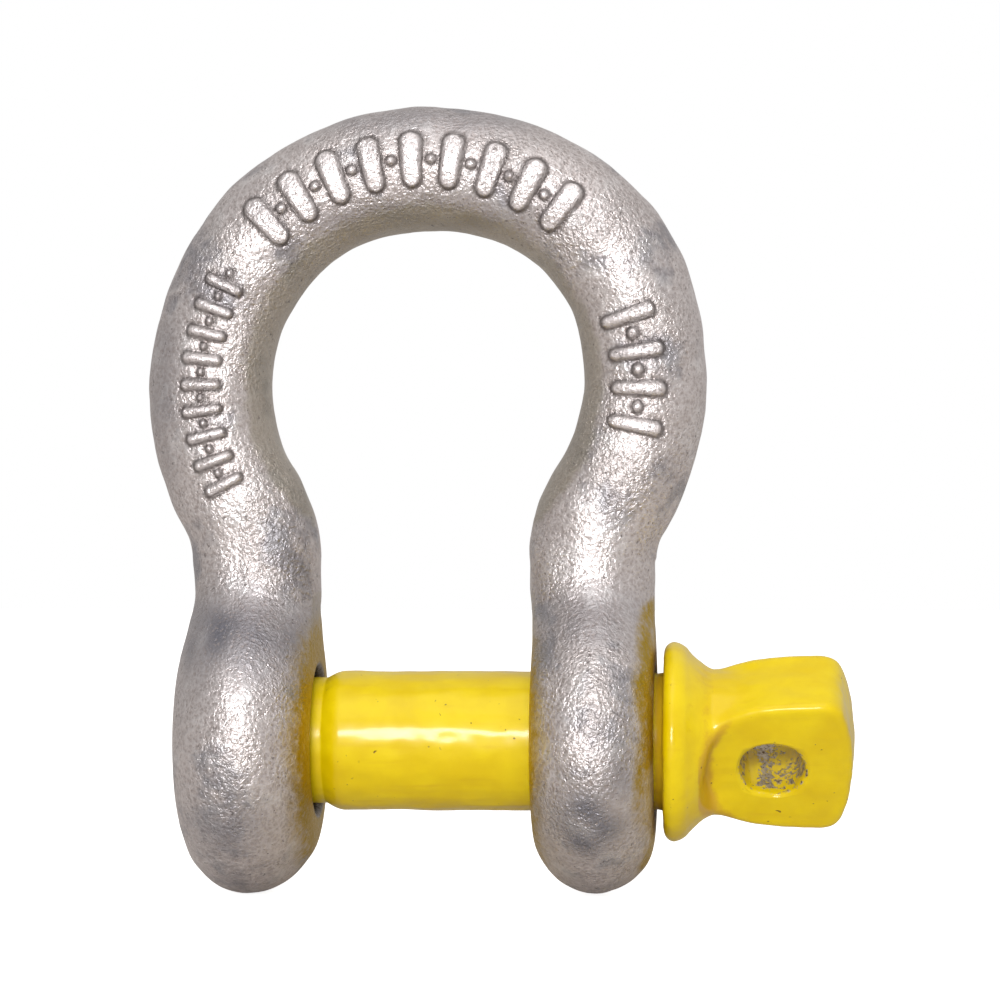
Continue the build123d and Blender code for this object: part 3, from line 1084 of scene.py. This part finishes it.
def galvanised_forging():
    """Dull pinkish-grey zinc with frosted crystals, bluish patches that are partly random tone
    and partly painted shade, painted olive shade on the inner side, painted highlights on the
    raised bars' tops with painted shade lines round their feet, and a painted reflection of
    the yellow pin beside it."""
    material, tree, shader, vector = new_material("galvanised_forging")
    crust = placed(tree, zinc_crust, {"Vector": vector})
    shade_and_specks_out = placed(tree, shade_and_specks, {"Vector": vector, "Gather": stored(tree, "inner_side")})
    colour = blend_colour(tree, crust["Tone"], zinc_deep, zinc_pale)
    frost = times(tree, crust["Frost"], 0.4)
    colour = blend_colour(tree, frost, colour, frosted_zinc)
    # Bluish patches: random tone from noise, and painted shade from the stored patches.
    blue = noise(tree, vector, size_mm=6.5, detail=5.0, roughness=0.62)
    blue = rise(tree, blue, 0.5, 0.66, 0.0, 0.6)
    grainy_painted_shade = times(tree, stored(tree, "painted_shade"), rise(tree, crust["Tone"], -0.1, 0.6))
    blue = larger(tree, blue, grainy_painted_shade)
    colour = blend_colour(tree, blue, colour, bluish_zinc_and_shade)
    # Painted olive shade on the inner side and the jaw faces.
    olive = times(tree, shade_and_specks_out["Stain"], 0.6)
    colour = blend_colour(tree, olive, colour, olive_shade_zinc)
    # Painted highlight on the raised bars' tops, then a painted shade line round their feet.
    top_highlight = times(tree, stored(tree, "raised"), rise(tree, crust["Tone"], 0.0, 0.7))
    colour = blend_colour(tree, top_highlight, colour, raised_highlight)
    foot_shade = times(tree, stored(tree, "foot"), 0.8)
    colour = blend_colour(tree, foot_shade, colour, foot_shade_line)
    pits = times(tree, crust["Pits"], 0.75)
    colour = blend_colour(tree, pits, colour, zinc_pit)
    # Painted reflection of the yellow pin on the ears, broken up by noise.
    mist = noise(tree, vector, size_mm=0.9, detail=4.0, roughness=0.7)
    reflection_share = times(tree, stored(tree, "painted_pin_reflection"), mist)
    colour = blend_colour(tree, rise(tree, reflection_share, 0.06, 0.34), colour, pin_reflection_yellow)
    colour = blend_colour(tree, stored(tree, "bore"), colour, bore_scale)
    rough = rise(tree, crust["Tone"], 0.0, 1.0, 0.29, 0.43)
    metal = rise(tree, crust["Pits"], 0.0, 1.0, 0.85, 0.3)
    bump = put(tree, "ShaderNodeBump", {
        "Strength": 1.0, "Distance": 0.19 * MM, "Height": crust["Height"],
    }).outputs["Normal"]
    shader.inputs["Specular IOR Level"].default_value = 0.5
    feed(tree, shader, Base_Color=colour, Roughness=rough, Metallic=metal, Normal=bump)
    return material


def yellow_paint():
    """Thick glossy yellow paint, a darker ochre painted as shade in the recesses, chipped to
    metal at the hole and collar, and bare zinc on the thread and in the plain ear."""
    material, tree, shader, vector = new_material("yellow_paint")
    crust = placed(tree, zinc_crust, {"Vector": vector})
    shade_and_specks_out = placed(tree, shade_and_specks, {"Vector": vector, "Gather": stored(tree, "hollow_shade")})
    clouds = noise(tree, vector, size_mm=5.0, detail=4.0, roughness=0.55)
    colour = blend_colour(tree, rise(tree, clouds, 0.3, 0.7), paint_deep, paint_bright)
    along = put(tree, "ShaderNodeMapping", {"Vector": vector, "Scale": (0.12, 1.0, 1.0)})
    streaks = noise(tree, along.outputs["Vector"], size_mm=1.1, detail=3.0, roughness=0.6)
    streaks = times(tree, rise(tree, streaks, 0.55, 0.8), 0.5)
    colour = blend_colour(tree, streaks, colour, paint_streak)
    # Painted shade: a darker ochre in the recesses.
    ochre = times(tree, shade_and_specks_out["Stain"], 0.75)
    colour = blend_colour(tree, ochre, colour, paint_shade_ochre)
    specks = shade_and_specks_out["Specks"]
    colour = blend_colour(tree, specks, colour, paint_speck)
    ragged = noise(tree, vector, size_mm=0.5, detail=4.0, roughness=0.7)
    ragged = times(tree, minus(tree, ragged, 0.5), 1.6)
    worn = rise(tree, plus(tree, stored(tree, "worn"), ragged), 0.55, 0.75)
    bare = rise(tree, plus(tree, stored(tree, "bare"), ragged), 0.45, 0.6)
    steel = blend_colour(tree, crust["Tone"], steel_dark, steel_pale)
    steel = blend_colour(tree, crust["Pits"], steel, steel_pit)
    off = larger(tree, worn, bare)
    colour = blend_colour(tree, off, colour, steel)
    gloss = rise(tree, clouds, 0.2, 0.8, 0.3, 0.42)
    rough = put(tree, "ShaderNodeMix", {0: off, 2: gloss, 3: 0.48}, data_type="FLOAT").outputs[0]
    metal = times(tree, off, 0.7)
    coat = rise(tree, off, 0.0, 1.0, 0.38, 0.0)
    peel = times(tree, noise(tree, vector, size_mm=1.4), 0.35)
    crusty = times(tree, crust["Height"], times(tree, off, 0.8))
    height = plus(tree, peel, crusty)
    height = minus(tree, height, times(tree, specks, 0.4))
    height = minus(tree, height, times(tree, worn, 0.5))
    bump = put(tree, "ShaderNodeBump", {
        "Strength": 0.6, "Distance": 0.12 * MM, "Height": height,
    }).outputs["Normal"]
    shader.inputs["Coat Roughness"].default_value = 0.16
    shader.inputs["Specular IOR Level"].default_value = 0.22
    feed(tree, shader, Base_Color=colour, Roughness=rough, Metallic=metal,
         Coat_Weight=coat, Normal=bump)
    return material


# ---------------------------------------------------------------- camera, light and floor

def aim(thing, target):
    """Turn a camera or a light to look at a point, with +Z up."""
    direction = Vector(target) - thing.location
    thing.rotation_euler = direction.to_track_quat("-Z", "Y").to_euler()


def place_round(target, distance, azimuth, elevation):
    """A place at a distance from a target; azimuth 0 is in front, on the -Y side."""
    azimuth = math.radians(azimuth)
    elevation = math.radians(elevation)
    return Vector(target) + distance * Vector((
        math.sin(azimuth) * math.cos(elevation),
        -math.cos(azimuth) * math.cos(elevation),
        math.sin(elevation),
    ))


def set_camera(target, distance, azimuth, elevation, lens):
    """A long lens close to square-on, a little to the head's side."""
    camera = bpy.data.objects.new("camera", bpy.data.cameras.new("camera"))
    bpy.context.scene.collection.objects.link(camera)
    camera.data.lens = lens
    camera.data.sensor_width = 36.0
    camera.data.clip_start = 0.01
    camera.location = place_round(target, distance, azimuth, elevation)
    aim(camera, target)
    bpy.context.scene.camera = camera


def add_softbox(name, target, distance, azimuth, elevation, width, height, power):
    """A soft rectangular light aimed at the shackle."""
    data = bpy.data.lights.new(name, "AREA")
    data.shape = "RECTANGLE"
    data.size = width
    data.size_y = height
    data.energy = power
    light = bpy.data.objects.new(name, data)
    light.visible_camera = False
    bpy.context.scene.collection.objects.link(light)
    light.location = place_round(target, distance, azimuth, elevation)
    aim(light, target)


def set_studio(target):
    """One broad soft light in front, a weak one above, and a pale room that is white to the
    camera, brighter to the upper right and dark low in front."""
    add_softbox("front_light", target, distance=0.80, azimuth=-3.0, elevation=13.0,
                width=0.26, height=0.15, power=4.3)
    add_softbox("top_light", target, distance=0.70, azimuth=10.0, elevation=62.0,
                width=0.50, height=0.50, power=0.8)
    world = bpy.data.worlds.new("pale_room")
    world.use_nodes = True
    tree = world.node_tree
    seen = put(tree, "ShaderNodeBackground", {"Color": (1.0, 1.0, 1.0, 1.0), "Strength": 1.0})
    lit = tree.nodes["Background"]
    sky = put(tree, "ShaderNodeTexCoord", {}).outputs["Generated"]

    def towards(direction):
        """How nearly the sky faces a direction, -1 to 1."""
        return put(tree, "ShaderNodeVectorMath", {0: sky, 1: direction},
                   operation="DOT_PRODUCT").outputs["Value"]

    wall = rise(tree, towards((0.60, 0.0, 0.80)), -1.0, 1.0, 0.40, 0.68)
    wall = put(tree, "ShaderNodeCombineColor", {
        0: wall, 1: times(tree, wall, 0.975), 2: times(tree, wall, 0.955),
    }).outputs[0]
    below_camera = rise(tree, towards((0.0, -0.88, -0.47)), 0.35, 0.88)
    room = blend_colour(tree, below_camera, wall, (0.10, 0.105, 0.12, 1.0))
    tree.links.new(room, lit.inputs["Color"])
    path = put(tree, "ShaderNodeLightPath", {})
    both = put(tree, "ShaderNodeMixShader", {
        0: path.outputs["Is Camera Ray"], 1: lit.outputs[0], 2: seen.outputs[0],
    })
    tree.links.new(both.outputs[0], tree.nodes["World Output"].inputs["Surface"])
    bpy.context.scene.world = world
    bpy.context.scene.view_settings.view_transform = "Standard"


def set_floor(height):
    """A plain pale floor that shows white, with a trace of the shackle's shadow."""
    half = 0.9
    mesh = bpy.data.meshes.new("floor")
    signs = ((-1, -1), (1, -1), (1, 1), (-1, 1))
    mesh.from_pydata([(x * half, y * half, height) for x, y in signs], [], [(0, 1, 2, 3)])
    floor = bpy.data.objects.new("floor", mesh)
    bpy.context.scene.collection.objects.link(floor)
    material = bpy.data.materials.new("pale_floor")
    material.use_nodes = True
    tree = material.node_tree
    shader = tree.nodes["Principled BSDF"]
    shader.inputs["Base Color"].default_value = floor_grey
    shader.inputs["Roughness"].default_value = 0.9
    shader.inputs["Specular IOR Level"].default_value = 0.1
    path = put(tree, "ShaderNodeLightPath", {})
    tree.links.new(path.outputs["Is Camera Ray"], shader.inputs["Emission Strength"])
    shader.inputs["Emission Color"].default_value = (0.9, 0.9, 0.9, 1.0)
    mesh.materials.append(material)


middle = (cad_box[0] + cad_box[1]) / 2
middle.y = 0.0
floor_gap = 0.2 * MM
set_camera(middle, distance=0.350, azimuth=4.15, elevation=0.0, lens=135.8)
set_studio(middle)
set_floor(cad_box[0].z - floor_gap)

# ---------------------------------------------------------------- the two pieces

make_piece("bow_forging", bow_mesh(), galvanised_forging(), "bow", "galvanised_forging",
           "bow_body")
make_piece("screw_pin", pin_mesh(), yellow_paint(), "pin", "yellow_paint",
           "pin_shank", "pin_thread", "pin_head")
